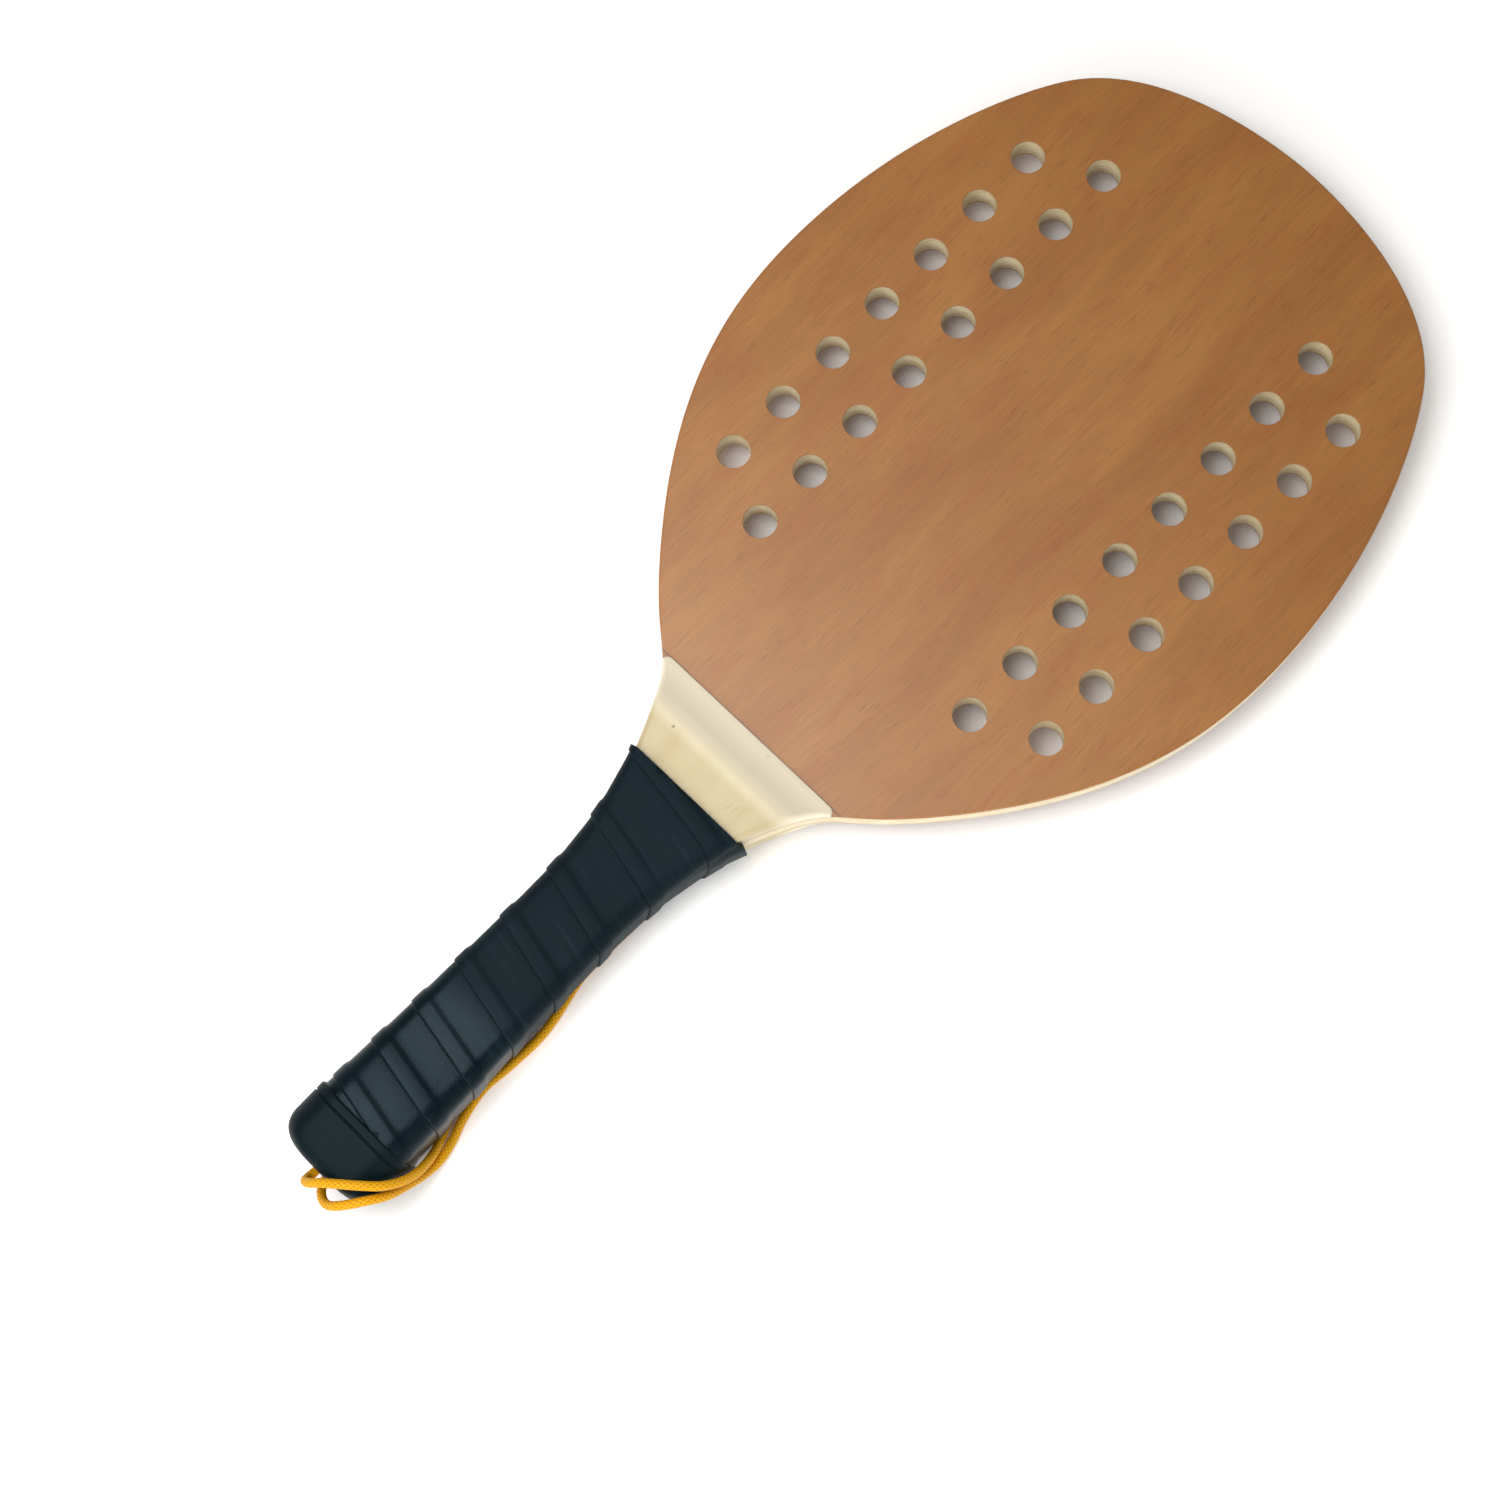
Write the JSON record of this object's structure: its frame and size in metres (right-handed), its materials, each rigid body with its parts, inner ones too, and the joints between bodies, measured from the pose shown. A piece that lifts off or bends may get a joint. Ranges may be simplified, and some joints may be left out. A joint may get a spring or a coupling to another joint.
{
  "type": "beach tennis racket",
  "caption": "Wooden beach tennis racket: a perforated plywood blade with a scooped throat, a tape wound handle, a rounded butt cap and a loose wrist cord.",
  "frame": {"origin": "on the surface that the racket lies on, below the middle of its length and width", "axes": "+Y from the butt to the top of the head, +X to the right of the front face, +Z out of the front face"},
  "size_m": [0.2096, 0.4543, 0.0337],
  "materials": {
    "veneer_wood": "thin clear satin varnish",
    "crossband_wood": "sanded and varnished edge",
    "core_wood": "sanded and varnished edge",
    "scale_wood": "sanded, clear satin varnish",
    "tape_skin": "soft matte polyurethane tape",
    "cap_rubber": "moulded, satin",
    "cord_yarn": "round braided cord"
  },
  "bodies": {
    "root": {"front_face_veneer": "veneer_wood", "front_crossband_ply": "crossband_wood", "core_ply": "core_wood", "back_crossband_ply": "crossband_wood", "back_face_veneer": "veneer_wood", "front_handle_scale": "scale_wood", "back_handle_scale": "scale_wood", "grip_tape": "tape_skin", "butt_cap": "cap_rubber", "cord_knot": "cord_yarn", "wrist_cord": "cord_yarn"}
  },
  "joints": []
}
